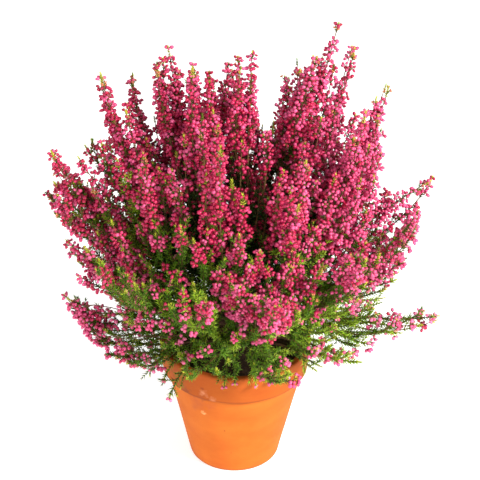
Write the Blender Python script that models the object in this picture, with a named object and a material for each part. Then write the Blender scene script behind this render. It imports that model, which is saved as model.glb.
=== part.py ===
# Potted cape heath: a dense upright shrub of flowering plumes in a terracotta pot.
# Metres, +Z up. The origin is the centre of the pot's flat underside, and the front faces -Y.

import math

import bmesh
import bpy
from mathutils import Vector, noise

GAP = 0.0003  # clearance between neighbouring pieces

# Pot: a plain straight-sided clay pot with a wide band round its rim
RIM_DIAMETER = 0.140
POT_HEIGHT = 0.1245
BASE_DIAMETER = 0.084
BAND_HEIGHT = 0.0285
BAND_TAPER = 0.0026  # how far the band draws in from its top edge to its lower edge
BAND_STEP = 0.0041  # how far the band stands proud of the body
WALL = 0.0065
BASE_THICKNESS = 0.009
DRAIN_DIAMETER = 0.018
EDGE_ROUND = 0.0022
POT_SIDES = 48

# Compost, domed a little towards the stem
COMPOST_EDGE = 0.1125
COMPOST_DOME = 0.0025
COMPOST_SHOULDER = 0.7  # where, as a share of its radius, and how far up the dome it bends

# Short stem inside the crown
STEM_FOOT = COMPOST_EDGE + COMPOST_DOME + GAP
STEM_TOP = 0.152
STEM_FLARE_RADIUS = 0.0112
STEM_FLARE_FADE = 7.0
STEM_RADIUS = 0.0080
STEM_TAPER = 0.1
STEM_STEPS = 6
STEM_CROWDING = 1.7  # draws the stem's rings down towards the flare
STEM_RING = 0.55  # where on the stem's top the upright boughs stand, as a share of its radius
STEM_SIDES = 14

# Boughs
BOUGH_THICK = 0.0021  # radius where a bough leaves the stem
BOUGH_THIN = 0.0012  # radius where it enters its mass
BOUGH_PULL = 0.3  # how far a bough holds its first and last directions
BOUGH_SPANS = 5
BOUGH_END_STEP = 0.04

# Foliage masses
MASS_SIDES = 10
MASS_RINGS = 9
MASS_FOOT_RADIUS = 0.0055
MASS_BELLY = 0.42  # where along its length a mass is stoutest
MASS_POINT = 2.2  # how suddenly it narrows to its tip
MASS_UNEVEN = 0.34
MASS_LUMP = 0.026  # size of the swellings on a mass
MASS_SHIFT = 7.3  # moves the swellings on from one mass to the next
BOUGH_CLEARANCE = 0.0012  # between a mass and a bough that passes it

# Each tier of the crown: where its boughs leave the stem, where its masses begin, how stout
# they are, and the tip of each mass as bearing in degrees from +X, reach from the axis and
# height. A mass marked True has a bough of its own, and the others lean on their neighbours.
TIERS = {
    "top": {
        "fork_height": 0.1520,
        "foot_reach": 0.024,
        "foot_height": 0.208,
        "girth": 0.031,
        "tips": {
            "right": (353, 0.081, 0.433, True),
            "back": (96, 0.052, 0.366, True),
            "left": (168, 0.060, 0.402, True),
            "front_left": (222, 0.050, 0.403, True),
            "centre": (300, 0.022, 0.411, True),
        },
    },
    "middle": {
        "fork_height": 0.1435,
        "foot_reach": 0.046,
        "foot_height": 0.188,
        "girth": 0.033,
        "tips": {
            "right": (3, 0.124, 0.373, False),
            "right_back": (26, 0.108, 0.390, True),
            "back": (66, 0.113, 0.336, False),
            "back_left": (112, 0.112, 0.342, True),
            "left_back": (156, 0.100, 0.366, False),
            "left": (185, 0.114, 0.387, True),
            "front_left": (226, 0.108, 0.347, False),
            "front": (262, 0.096, 0.362, True),
            "front_right": (300, 0.108, 0.350, False),
            "right_front": (334, 0.114, 0.372, True),
        },
    },
    "outer": {
        "fork_height": 0.1335,
        "foot_reach": 0.060,
        "foot_height": 0.168,
        "girth": 0.038,
        "tips": {
            "right": (7, 0.173, 0.279, True),
            "right_back": (38, 0.152, 0.272, False),
            "back_right": (72, 0.159, 0.256, True),
            "back_left": (109, 0.158, 0.262, True),
            "left_back": (142, 0.155, 0.270, False),
            "left": (170, 0.175, 0.267, True),
            "left_front": (194, 0.158, 0.328, False),
            "front_left": (224, 0.157, 0.258, True),
            "front": (255, 0.157, 0.262, False),
            "front_middle": (285, 0.155, 0.254, True),
            "front_right": (314, 0.150, 0.270, False),
            "right_front": (343, 0.158, 0.280, False),
        },
    },
    "low": {
        "fork_height": 0.1240,
        "foot_reach": 0.053,
        "foot_height": 0.1370,
        "girth": 0.030,
        "tips": {
            "right": (344, 0.182, 0.188, True),
            "right_back": (22, 0.142, 0.162, False),
            "back_right": (60, 0.134, 0.160, False),
            "back_left": (108, 0.134, 0.164, True),
            "left_back": (149, 0.138, 0.157, False),
            "left": (190, 0.153, 0.182, False),
            "front_left": (214, 0.142, 0.150, True),
            "front": (252, 0.128, 0.162, False),
            "front_right": (288, 0.128, 0.160, True),
            "right_front": (322, 0.150, 0.148, False),
        },
    },
}

CLAY = ("clay", (0.62, 0.19, 0.05, 1.0), 0.75)
SOIL = ("soil", (0.035, 0.022, 0.014, 1.0), 0.95)
BARK = ("bark", (0.16, 0.085, 0.045, 1.0), 0.85)
BLOSSOM = ("blossom", (0.50, 0.03, 0.20, 1.0), 0.70)
GREENERY = ("greenery", (0.10, 0.20, 0.04, 1.0), 0.80)


def clear_scene():
    """Start from an empty scene."""
    for thing in list(bpy.data.objects):
        bpy.data.objects.remove(thing, do_unlink=True)


def material(look):
    """A plain finish: name, colour and roughness."""
    name, colour, roughness = look
    finish = bpy.data.materials.get(name)
    if finish is None:
        finish = bpy.data.materials.new(name)
        finish.use_nodes = True
        shader = finish.node_tree.nodes["Principled BSDF"]
        shader.inputs["Base Color"].default_value = colour
        shader.inputs["Roughness"].default_value = roughness
        shader.inputs["Metallic"].default_value = 0.0
    return finish


def add_object(name, data, look):
    piece = bpy.data.objects.new(name, data)
    data.materials.append(material(look))
    bpy.context.collection.objects.link(piece)
    return piece


def add_mesh(name, form, look):
    """A closed mesh object made from a bmesh, with its faces pointing out."""
    bmesh.ops.recalc_face_normals(form, faces=form.faces)
    data = bpy.data.meshes.new(name)
    form.to_mesh(data)
    form.free()
    data.shade_smooth()
    data.set_sharp_from_angle(angle=math.radians(35))
    return add_object(name, data, look)


def on_bearing(bearing, reach, height):
    """A point at a bearing in degrees, a reach from the pot's axis and a height."""
    turn = math.radians(bearing)
    return Vector((reach * math.cos(turn), reach * math.sin(turn), height))


def turned_piece(name, profile, look, sides, closed_at_axis):
    """A profile of (radius, height) points spun once round the pot's axis."""
    form = bmesh.new()
    points = [form.verts.new((radius, 0.0, height)) for radius, height in profile]
    pairs = list(zip(points, points[1:]))
    if not closed_at_axis:
        pairs.append((points[-1], points[0]))
    edges = [form.edges.new(pair) for pair in pairs]
    bmesh.ops.spin(
        form,
        geom=points + edges,
        cent=(0.0, 0.0, 0.0),
        axis=(0.0, 0.0, 1.0),
        angle=math.tau,
        steps=sides,
        use_merge=True,
    )
    bmesh.ops.remove_doubles(form, verts=form.verts, dist=1e-6)
    return add_mesh(name, form, look)


def rounded_corner(corner, before, after, radius):
    """Three points in place of a corner, on a small arc between its two sides."""
    corner, before, after = Vector(corner), Vector(before), Vector(after)
    start = corner + (before - corner).normalized() * radius
    end = corner + (after - corner).normalized() * radius
    middle = (start + end) * 0.25 + corner * 0.5
    return [tuple(start), tuple(middle), tuple(end)]


def body_radius(height):
    """The pot's outer radius below its band, carried on straight to any height."""
    band_foot = POT_HEIGHT - BAND_HEIGHT
    under_band = RIM_DIAMETER / 2 - BAND_TAPER - BAND_STEP
    slope = (under_band - BASE_DIAMETER / 2) / band_foot
    return BASE_DIAMETER / 2 + slope * height


def inner_radius(height):
    return body_radius(height) - WALL


def make_pot():
    """One fired clay piece: band, tapered body, thick base and drain hole."""
    rim = RIM_DIAMETER / 2
    band_foot = POT_HEIGHT - BAND_HEIGHT
    drain = DRAIN_DIAMETER / 2
    corners = [
        (drain, 0.0, 0.0),
        (BASE_DIAMETER / 2, 0.0, EDGE_ROUND),
        (body_radius(band_foot), band_foot, 0.0),
        (rim - BAND_TAPER, band_foot, EDGE_ROUND / 2),
        (rim, POT_HEIGHT, EDGE_ROUND),
        (inner_radius(POT_HEIGHT), POT_HEIGHT, EDGE_ROUND),
        (inner_radius(BASE_THICKNESS), BASE_THICKNESS, 0.0),
        (drain, BASE_THICKNESS, 0.0),
    ]
    profile = []
    for index, (radius, height, rounding) in enumerate(corners):
        before = corners[index - 1][:2]
        after = corners[(index + 1) % len(corners)][:2]
        if rounding:
            profile += rounded_corner((radius, height), before, after, rounding)
        else:
            profile.append((radius, height))
    return turned_piece("terracotta_pot", profile, CLAY, POT_SIDES, closed_at_axis=False)


def make_compost():
    """The compost fills the pot from its floor to just under its rim."""
    floor = BASE_THICKNESS + GAP
    edge = inner_radius(COMPOST_EDGE) - GAP
    domed = COMPOST_EDGE + COMPOST_DOME
    profile = [
        (0.0, floor),
        (inner_radius(floor) - GAP, floor),
        (edge, COMPOST_EDGE),
        (edge * COMPOST_SHOULDER, COMPOST_EDGE + COMPOST_DOME * COMPOST_SHOULDER),
        (STEM_FLARE_RADIUS, domed),
        (0.0, domed),
    ]
    return turned_piece("compost", profile, SOIL, POT_SIDES, closed_at_axis=True)


def stem_radius(height):
    """The stem's radius: a root flare that dies away upwards, over an even taper."""
    share = (height - STEM_FOOT) / (STEM_TOP - STEM_FOOT)
    flare = (STEM_FLARE_RADIUS - STEM_RADIUS) * math.exp(-share * STEM_FLARE_FADE)
    return STEM_RADIUS * (1.0 - STEM_TAPER * share) + flare


def make_stem():
    """A short stem from a flat cut on the compost to its fork, flared at the foot."""
    profile = [(0.0, STEM_FOOT)]
    for step in range(STEM_STEPS + 1):
        share = (step / STEM_STEPS) ** STEM_CROWDING
        height = STEM_FOOT + (STEM_TOP - STEM_FOOT) * share
        profile.append((stem_radius(height), height))
    profile.append((0.0, STEM_TOP))
    return turned_piece("short_stem", profile, BARK, STEM_SIDES, closed_at_axis=True)


def crown_masses():
    """Foot, tip, girth and bough of every foliage mass, worked out from the tiers."""
    masses = {}
    for tier, sizes in TIERS.items():
        kind = "spray" if tier == "low" else "plume"
        for place, (bearing, reach, height, has_bough) in sizes["tips"].items():
            masses[f"{kind}_{tier}_{place}"] = {
                "foot": on_bearing(bearing, sizes["foot_reach"], sizes["foot_height"]),
                "tip": on_bearing(bearing, reach, height),
                "girth": sizes["girth"],
                "look": GREENERY if tier == "low" else BLOSSOM,
                "bearing": bearing,
                "fork_height": sizes["fork_height"],
                "bough": f"bough_{tier}_{place}" if has_bough else None,
            }
    return masses


def nearest_points(start_a, end_a, start_b, end_b):
    """The closest point on each of two straight segments."""
    along_a, along_b = end_a - start_a, end_b - start_b
    between = start_a - start_b
    aa, bb = along_a.dot(along_a), along_b.dot(along_b)
    ab = along_a.dot(along_b)
    at_a, at_b = along_a.dot(between), along_b.dot(between)
    spread = aa * bb - ab * ab
    share_a = 0.0 if spread < 1e-12 else min(max((ab * at_b - bb * at_a) / spread, 0.0), 1.0)
    share_b = min(max((ab * share_a + at_b) / bb, 0.0), 1.0)
    share_a = min(max((ab * share_b - at_a) / aa, 0.0), 1.0)
    return start_a + along_a * share_a, start_b + along_b * share_b


def flat_between(mass, other, other_share, clearance):
    """The flat where a mass stops short of a neighbour: a normal and a distance along it."""
    here, there = nearest_points(mass["foot"], mass["tip"], other["foot"], other["tip"])
    normal = (there - here).normalized()
    meeting = here.lerp(there, 1.0 - other_share)
    return normal, meeting.dot(normal) - clearance


def flats_round(name, masses, boughs):
    """Every flat that bounds a mass: its neighbours, passing boughs and the pot's rim."""
    mass = masses[name]
    flats = [(Vector((0.0, 0.0, -1.0)), -(POT_HEIGHT + GAP))]
    for other_name, other in masses.items():
        if other_name != name:
            share = other["girth"] / (other["girth"] + mass["girth"])
            flats.append(flat_between(mass, other, share, GAP / 2))
    for bough_name, line in boughs.items():
        if bough_name != mass["bough"]:
            for start, end in zip(line, line[1:]):
                length = {"foot": start, "tip": end}
                flats.append(flat_between(mass, length, 0.0, BOUGH_THICK + BOUGH_CLEARANCE))
    return flats


def mass_swell(share):
    """How stout a mass is along its length, from its foot at 0 to its tip at 1."""
    rise = min(share / MASS_BELLY, 1.0)
    fall = max((share - MASS_BELLY) / (1.0 - MASS_BELLY), 0.0)
    return (1.0 - (1.0 - rise) ** 2) * (1.0 - fall**MASS_POINT) ** 0.8


def make_mass(name, masses, boughs, number):
    """A plume: an uneven spindle from its foot to its tip, pressed flat by its neighbours."""
    mass = masses[name]
    flats = flats_round(name, masses, boughs)
    along = mass["tip"] - mass["foot"]
    lean = along.to_track_quat("Z", "Y").to_matrix()
    form = bmesh.new()
    bmesh.ops.create_uvsphere(
        form, u_segments=MASS_SIDES, v_segments=MASS_RINGS, radius=1.0
    )
    for vert in form.verts:
        down = math.acos(max(-1.0, min(1.0, vert.co.z))) / math.pi
        level = round((1.0 - down) * MASS_RINGS)
        share = max(level - 1, 0) / (MASS_RINGS - 1)
        middle = mass["foot"] + along * share
        if level in (0, MASS_RINGS):
            vert.co = middle
            continue
        outward = lean @ Vector((vert.co.x, vert.co.y, 0.0)).normalized()
        probe = (middle + outward * mass["girth"]) / MASS_LUMP
        probe.x += number * MASS_SHIFT
        swell = 1.0 + MASS_UNEVEN * noise.noise(probe)
        radius = max(mass["girth"] * mass_swell(share) * swell, MASS_FOOT_RADIUS)
        for normal, limit in flats:
            towards = outward.dot(normal)
            if towards > 1e-6:
                radius = min(radius, (limit - middle.dot(normal)) / towards)
        vert.co = middle + outward * radius
    return add_mesh(name, form, mass["look"])


def bezier_points(start, first_pull, second_pull, end):
    """Points along a smooth bend, with a short step at each end so that the ends are square."""
    shares = [step / BOUGH_SPANS for step in range(1, BOUGH_SPANS)]
    shares = [0.0, BOUGH_END_STEP, *shares, 1.0 - BOUGH_END_STEP, 1.0]
    points = []
    for share in shares:
        rest = 1.0 - share
        point = start * rest**3 + first_pull * (3 * rest**2 * share)
        point += second_pull * (3 * rest * share**2) + end * share**3
        points.append(point)
    return points


def bough_line(mass):
    """The points of a bough's centre line: out of the stem and up into the foot of its mass."""
    heading = (mass["tip"] - mass["foot"]).normalized()
    if mass["fork_height"] < STEM_TOP:
        reach = stem_radius(mass["fork_height"]) + GAP * 1.5
        start = on_bearing(mass["bearing"], reach, mass["fork_height"])
        leaving = on_bearing(mass["bearing"], 1.0, 0.0)
    else:
        start = on_bearing(mass["bearing"], STEM_RADIUS * STEM_RING, STEM_TOP + GAP)
        leaving = Vector((0.0, 0.0, 1.0))
    end = mass["foot"] - heading * GAP
    pull = (end - start).length * BOUGH_PULL
    return bezier_points(start, start + leaving * pull, end - heading * pull, end)


def make_bough(name, line):
    """One tapering limb between the stem and its mass."""
    curve = bpy.data.curves.new(name, "CURVE")
    curve.dimensions = "3D"
    curve.bevel_depth = BOUGH_THICK
    curve.bevel_resolution = 1
    curve.use_fill_caps = True
    spline = curve.splines.new("POLY")
    spline.points.add(len(line) - 1)
    for index, (point, place) in enumerate(zip(spline.points, line)):
        share = index / (len(line) - 1)
        point.co = (*place, 1.0)
        point.radius = 1.0 + (BOUGH_THIN / BOUGH_THICK - 1.0) * share
    return add_object(name, curve, BARK)


def make_crown():
    """Every bough and foliage mass."""
    masses = crown_masses()
    boughs = {mass["bough"]: bough_line(mass) for mass in masses.values() if mass["bough"]}
    for name, line in boughs.items():
        make_bough(name, line)
    for number, name in enumerate(masses):
        make_mass(name, masses, boughs, number)


clear_scene()
make_pot()
make_compost()
make_stem()
make_crown()
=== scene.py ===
# A potted cape heath: plumes of small bell flowers over needled stems, in a terracotta pot.
import math
import random
from collections import defaultdict

import bmesh
import bpy
import numpy as np
from mathutils import Matrix, Vector, noise
from mathutils.bvhtree import BVHTree


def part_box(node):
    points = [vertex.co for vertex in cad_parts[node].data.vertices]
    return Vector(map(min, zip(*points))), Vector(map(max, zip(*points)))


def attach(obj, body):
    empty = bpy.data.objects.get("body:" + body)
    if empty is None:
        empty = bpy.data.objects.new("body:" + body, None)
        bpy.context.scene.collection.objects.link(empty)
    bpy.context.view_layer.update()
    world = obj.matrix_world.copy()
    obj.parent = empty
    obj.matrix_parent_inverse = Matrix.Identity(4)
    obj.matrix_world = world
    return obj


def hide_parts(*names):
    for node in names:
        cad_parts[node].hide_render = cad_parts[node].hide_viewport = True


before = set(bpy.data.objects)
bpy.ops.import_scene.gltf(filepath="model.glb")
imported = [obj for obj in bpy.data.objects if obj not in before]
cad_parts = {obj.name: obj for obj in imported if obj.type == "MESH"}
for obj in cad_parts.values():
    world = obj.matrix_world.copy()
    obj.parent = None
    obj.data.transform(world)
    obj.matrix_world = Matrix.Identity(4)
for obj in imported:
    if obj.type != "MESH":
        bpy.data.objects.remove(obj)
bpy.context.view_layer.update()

goldenTurn = math.pi * (3.0 - math.sqrt(5.0))
skyward = Vector((0.0, 0.0, 1.0))


# Small helpers
def screen(red, green, blue):
    # a colour as seen on a screen, 0 to 255, made linear for the shaders
    linear = []
    for part in (red, green, blue):
        share = part / 255.0
        linear.append(share / 12.92 if share <= 0.04045 else ((share + 0.055) / 1.055) ** 2.4)
    return (*linear, 1.0)


def blendValue(low, high, share):
    return low + (high - low) * share


def easeBetween(value, low, high):
    share = min(max((value - low) / (high - low), 0.0), 1.0)
    return share * share * (3.0 - 2.0 * share)


def anyAcross(direction):
    # a unit vector square to a direction
    other = Vector((1.0, 0.0, 0.0)) if abs(direction.z) > 0.9 else skyward
    return direction.cross(other).normalized()


def turnedAcross(direction, turn):
    first = anyAcross(direction)
    second = direction.cross(first)
    return first * math.cos(turn) + second * math.sin(turn)


def bendLine(start, leaving, arriving, end, count):
    # points of a smooth bend that leaves and arrives along the two pulls
    points = []
    for step in range(count):
        share = step / (count - 1)
        rest = 1.0 - share
        point = start * rest**3 + (start + leaving) * (3 * rest**2 * share)
        point += (end - arriving) * (3 * rest * share**2) + end * share**3
        points.append(point)
    return points


def levelWay(bearing):
    return Vector((math.cos(bearing), math.sin(bearing), 0.0))


def lineLengths(points):
    lengths = [0.0]
    for before, after in zip(points, points[1:]):
        lengths.append(lengths[-1] + (after - before).length)
    return lengths


def alongLine(points, lengths, distance):
    # the point and the direction at a distance along a line
    for index in range(1, len(points)):
        if distance <= lengths[index] or index == len(points) - 1:
            span = points[index] - points[index - 1]
            share = (distance - lengths[index - 1]) / max(lengths[index] - lengths[index - 1], 1e-9)
            return points[index - 1] + span * share, span.normalized()


def finishPiece(piece, slotName, *nodes):
    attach(piece, "root")
    if nodes:
        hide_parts(*nodes)


def addPiece(name, mesh, finish):
    mesh.name = name
    mesh.materials.clear()
    mesh.materials.append(finish)
    piece = bpy.data.objects.new(name, mesh)
    bpy.context.collection.objects.link(piece)
    return piece


def spinOutline(form, outline, steps, closed=False):
    # an outline of radii and heights, spun all the way round the upright axis
    points = [form.verts.new((radius, 0.0, height)) for radius, height in outline]
    pairs = list(zip(points[-1:] + points, points))
    edges = [form.edges.new(pair) for pair in (pairs if closed else pairs[1:])]
    middle = (0.0, 0.0, 0.0)
    bmesh.ops.spin(
        form, geom=points + edges, axis=skyward, cent=middle, angle=math.tau, steps=steps, use_merge=True
    )


def fromForm(name, form, finish, sharpAngle=40):
    # a finished mesh object from a bmesh
    bmesh.ops.recalc_face_normals(form, faces=form.faces)
    mesh = bpy.data.meshes.new(name)
    form.to_mesh(mesh)
    form.free()
    mesh.shade_smooth()
    mesh.set_sharp_from_angle(angle=math.radians(sharpAngle))
    return addPiece(name, mesh, finish)


# Shader helpers
def addNode(tree, kind, values=None, **settings):
    node = tree.nodes.new(kind)
    for setting, value in settings.items():
        setattr(node, setting, value)
    for socket, value in (values or {}).items():
        if isinstance(value, bpy.types.NodeSocket):
            tree.links.new(value, node.inputs[socket])
        else:
            node.inputs[socket].default_value = value
    return node


def makeGroup(name, takes, gives):
    group = bpy.data.node_groups.new(name, "ShaderNodeTree")
    for label, value in takes.items():
        kind = "NodeSocketColor" if isinstance(value, tuple) else "NodeSocketFloat"
        socket = group.interface.new_socket(name=label, in_out="INPUT", socket_type=kind)
        socket.default_value = value
    for label, kind in gives.items():
        group.interface.new_socket(name=label, in_out="OUTPUT", socket_type=kind)
    return group, group.nodes.new("NodeGroupInput"), group.nodes.new("NodeGroupOutput")


def useGroup(tree, group, values):
    return addNode(tree, "ShaderNodeGroup", values, node_tree=group)


def newFinish(name, **constants):
    finish = bpy.data.materials.new(name)
    finish.use_nodes = True
    shader = finish.node_tree.nodes["Principled BSDF"]
    for socket, value in constants.items():
        shader.inputs[socket.replace("_", " ")].default_value = value
    return finish, finish.node_tree, shader


def mixColours(tree, share, first, second, blend="MIX"):
    node = addNode(tree, "ShaderNodeMix", data_type="RGBA", blend_type=blend)
    for index, value in ((0, share), (6, first), (7, second)):
        if isinstance(value, bpy.types.NodeSocket):
            tree.links.new(value, node.inputs[index])
        else:
            node.inputs[index].default_value = value
    return node.outputs[2]


def mapRange(tree, value, start, stop, first=0.0, last=1.0, **settings):
    # a value between start and stop becomes one between first and last
    taken = {"Value": value, "From Min": start, "From Max": stop, "To Min": first, "To Max": last}
    return addNode(tree, "ShaderNodeMapRange", taken, **settings).outputs["Result"]


def mathNode(tree, operation, *values, **settings):
    taken = dict(enumerate(values))
    return addNode(tree, "ShaderNodeMath", taken, operation=operation, **settings).outputs[0]


def noiseNode(tree, vector, size, detail, **more):
    taken = {"Vector": vector, "Scale": size, "Detail": detail, **more}
    return addNode(tree, "ShaderNodeTexNoise", taken).outputs["Fac"]


def addBump(tree, shader, height, strength, distance):
    bump = addNode(tree, "ShaderNodeBump", {"Strength": strength, "Distance": distance, "Height": height})
    tree.links.new(bump.outputs["Normal"], shader.inputs["Normal"])


# Living colour: every petal, needle and twig carries a tint of its own and a place along itself
livingGroup, livingIn, livingOut = makeGroup(
    "livingColour",
    {
        "Shaded": (0.1, 0.1, 0.1, 1.0),
        "Lit": (0.5, 0.5, 0.5, 1.0),
        "End": (0.5, 0.5, 0.5, 1.0),
        "End From": 0.6,
        "Rough Low": 0.35,
        "Rough High": 0.55,
        "Grain Size": 900.0,
    },
    {"Colour": "NodeSocketColor", "Roughness": "NodeSocketFloat", "Height": "NodeSocketFloat"},
)


def fillLivingGroup():
    tree = livingGroup
    takes = livingIn.outputs
    tint = addNode(tree, "ShaderNodeAttribute", attribute_name="tint")
    along = addNode(tree, "ShaderNodeAttribute", attribute_name="along")
    coords = addNode(tree, "ShaderNodeTexCoord")
    mottle = noiseNode(tree, coords.outputs["Object"], takes["Grain Size"], 2.0)
    spread = mathNode(tree, "ADD", tint.outputs["Fac"], mottle)
    centred = mathNode(tree, "SUBTRACT", spread, 0.5, use_clamp=True)
    body = mixColours(tree, centred, takes["Shaded"], takes["Lit"])
    ends = mapRange(tree, along.outputs["Fac"], takes["End From"], 1.0, interpolation_type="SMOOTHSTEP")
    colour = mixColours(tree, ends, body, takes["End"])
    rough = mapRange(tree, mottle, 0.0, 1.0, takes["Rough Low"], takes["Rough High"])
    tree.links.new(colour, livingOut.inputs["Colour"])
    tree.links.new(rough, livingOut.inputs["Roughness"])
    tree.links.new(mottle, livingOut.inputs["Height"])


fillLivingGroup()


def livingFinish(name, colours, values, **constants):
    # the colours are those of the shaded side, the lit side and the far end
    finish, tree, shader = newFinish(name, **constants)
    living = useGroup(tree, livingGroup, {**dict(zip(("Shaded", "Lit", "End"), colours)), **values})
    tree.links.new(living.outputs["Colour"], shader.inputs["Base Color"])
    tree.links.new(living.outputs["Roughness"], shader.inputs["Roughness"])
    addBump(tree, shader, living.outputs["Height"], 0.25, 0.0003)
    return finish


# Grain: coarse and fine unevenness, for clay, bark and compost
grainGroup, grainIn, grainOut = makeGroup(
    "grain",
    {"Size": 60.0, "Fine Size": 900.0, "Fine Share": 0.35, "Stretch": 1.0},
    {"Mask": "NodeSocketFloat", "Height": "NodeSocketFloat"},
)


def fillGrainGroup():
    tree = grainGroup
    takes = grainIn.outputs
    coords = addNode(tree, "ShaderNodeTexCoord")
    stretch = addNode(tree, "ShaderNodeCombineXYZ", {"X": 1.0, "Y": 1.0, "Z": takes["Stretch"]})
    taken = {0: coords.outputs["Object"], 1: stretch.outputs["Vector"]}
    shaped = addNode(tree, "ShaderNodeVectorMath", taken, operation="MULTIPLY").outputs[0]
    coarse = noiseNode(tree, shaped, takes["Size"], 5.0, Roughness=0.6)
    fine = noiseNode(tree, shaped, takes["Fine Size"], 2.0)
    height = addNode(tree, "ShaderNodeMix", {0: takes["Fine Share"]}, data_type="FLOAT")
    tree.links.new(coarse, height.inputs[2])
    tree.links.new(fine, height.inputs[3])
    tree.links.new(coarse, grainOut.inputs["Mask"])
    tree.links.new(height.outputs[0], grainOut.inputs["Height"])


fillGrainGroup()


def useGrain(tree, size, fineSize, fineShare, stretch=1.0):
    values = {"Size": size, "Fine Size": fineSize, "Fine Share": fineShare, "Stretch": stretch}
    return useGroup(tree, grainGroup, values).outputs


# Camera: the photo's own viewing angle
cameraPlan = {
    "distance": 1.1,
    "height": 0.8493,
    "tilt": math.radians(-29.53),
    "swing": math.radians(0.16),
    "roll": math.radians(0.72),
    "lens": 106.85,
    "sensor": 36.0,
    "pictureSide": 480.0,
}


def cameraMatrix(plan):
    return (
        Matrix.Translation((0.0, -plan["distance"], plan["height"]))
        @ Matrix.Rotation(-plan["swing"], 4, "Z")
        @ Matrix.Rotation(math.pi / 2 + plan["tilt"], 4, "X")
        @ Matrix.Rotation(plan["roll"], 4, "Z")
    )


def pixelSize(plan):
    return plan["sensor"] / plan["lens"] / plan["pictureSide"]


def seenPlace(across, down, depth):
    # the place that shows at a pixel of the picture, so far behind the pot's axis
    plan = cameraPlan
    pixel = pixelSize(plan)
    half = plan["pictureSide"] / 2
    eye = cameraMatrix(plan)
    ray = eye.to_3x3() @ Vector(((across - half) * pixel, (half - down) * pixel, -1.0))
    return eye.translation + ray * ((depth - eye.translation.y) / ray.y)


def seenPixel(point):
    # where a place shows in the picture
    plan = cameraPlan
    near = cameraMatrix(plan).inverted() @ point
    pixel = pixelSize(plan)
    half = plan["pictureSide"] / 2
    return half - near.x / near.z / pixel, half + near.y / near.z / pixel


def placeCamera(plan):
    data = bpy.data.cameras.new("view")
    data.lens = plan["lens"]
    data.sensor_width = plan["sensor"]
    data.clip_start = 0.01
    camera = bpy.data.objects.new("view", data)
    bpy.context.collection.objects.link(camera)
    camera.matrix_world = cameraMatrix(plan)
    bpy.context.scene.camera = camera


placeCamera(cameraPlan)
print("camera placed")

# Studio: a white floor and soft light, strongest from the right
studioPlan = {
    "floorSize": 12.0,
    "floorWhite": 0.86,
    "floorTint": (0.99, 0.985, 0.98),
    "skyStrength": 0.56,
    "keyFrom": (1.9, -1.35, 1.75),
    "keySize": 0.6,
    "keyPower": 110.0,
    "fillFrom": (-1.2, -1.9, 1.0),
    "fillSize": 1.6,
    "fillPower": 18.0,
    "keyColour": (1.0, 0.97, 0.92),
    "fillColour": (1.0, 0.98, 0.97),
    "aim": (0.0, 0.0, 0.22),
    "floorGlow": 0.62,
}


def addAreaLight(name, plan):
    data = bpy.data.lights.new(name, "AREA")
    data.shape = "DISK"
    data.size = plan[name + "Size"]
    data.energy = plan[name + "Power"]
    data.color = plan[name + "Colour"]
    light = bpy.data.objects.new(name, data)
    bpy.context.collection.objects.link(light)
    light.location = plan[name + "From"]
    aim = Vector(plan["aim"]) - Vector(plan[name + "From"])
    light.rotation_euler = aim.to_track_quat("-Z", "Y").to_euler()


def buildStudio(plan):
    form = bmesh.new()
    bmesh.ops.create_grid(form, x_segments=1, y_segments=1, size=plan["floorSize"] / 2)
    white = (1.0, 1.0, 1.0, 1.0)
    glow = {"Emission_Color": white, "Emission_Strength": plan["floorGlow"]}
    finish, tree, shader = newFinish("floorPaper", Roughness=0.9, Specular_IOR_Level=0.2, **glow)
    grain = useGrain(tree, 3.0, 260.0, 0.5)
    paper = (*[plan["floorWhite"]] * 3, 1.0)
    tinted = (*[plan["floorWhite"] * share for share in plan["floorTint"]], 1.0)
    soft = mixColours(tree, grain["Mask"], paper, tinted)
    tree.links.new(soft, shader.inputs["Base Color"])
    floor = fromForm("floor", form, finish)
    world = bpy.data.worlds.new("softRoom")
    world.use_nodes = True
    background = world.node_tree.nodes["Background"]
    background.inputs["Color"].default_value = white
    background.inputs["Strength"].default_value = plan["skyStrength"]
    bpy.context.scene.world = world
    addAreaLight("key", plan)
    addAreaLight("fill", plan)
    bpy.context.scene.view_settings.view_transform = "Standard"


buildStudio(studioPlan)
print("studio built")

# Pot: spun from the outline of the CAD pot, with turning marks, worn edges and stains
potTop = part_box("terracotta_pot")[1].z
potPlan = {
    "steps": 144,
    "rimRadius": 0.070,
    "bandHeight": 0.0285,
    "bandTaper": 0.0026,
    "bandStep": 0.0041,
    "wall": 0.0065,
    "floorThickness": 0.009,
    "baseRadius": 0.042,
    "drainRadius": 0.009,
    "edge": 0.0024,
    "edgeSteps": 4,
    "softEdge": 0.0008,
    "rows": 22,
    "turningDepth": 0.00009,
    "chipDepth": 0.00035,
    "lean": 0.00025,
    "stainReach": 1.25,
    "stainStrength": 1.5,
}


def potOutline(plan):
    # the corners of the pot's section, outside and inside, each with its rounding and rows
    rim, base, drain = plan["rimRadius"], plan["baseRadius"], plan["drainRadius"]
    floor, edge = plan["floorThickness"], plan["edge"]
    bandFoot = potTop - plan["bandHeight"]
    slope = (rim - plan["bandTaper"] - plan["bandStep"] - base) / bandFoot
    inside = base - plan["wall"]
    return [
        (drain, 0.0, plan["softEdge"], 2),
        (base, 0.0, edge, plan["rows"]),
        (base + slope * bandFoot, bandFoot, 0.0006, 2),
        (rim - plan["bandTaper"], bandFoot, edge * 0.7, 8),
        (rim, potTop, edge, 2),
        (inside + slope * potTop, potTop, edge, 12),
        (inside + slope * floor, floor, 0.0015, 3),
        (drain, floor, plan["softEdge"], 2),
    ]


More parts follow.
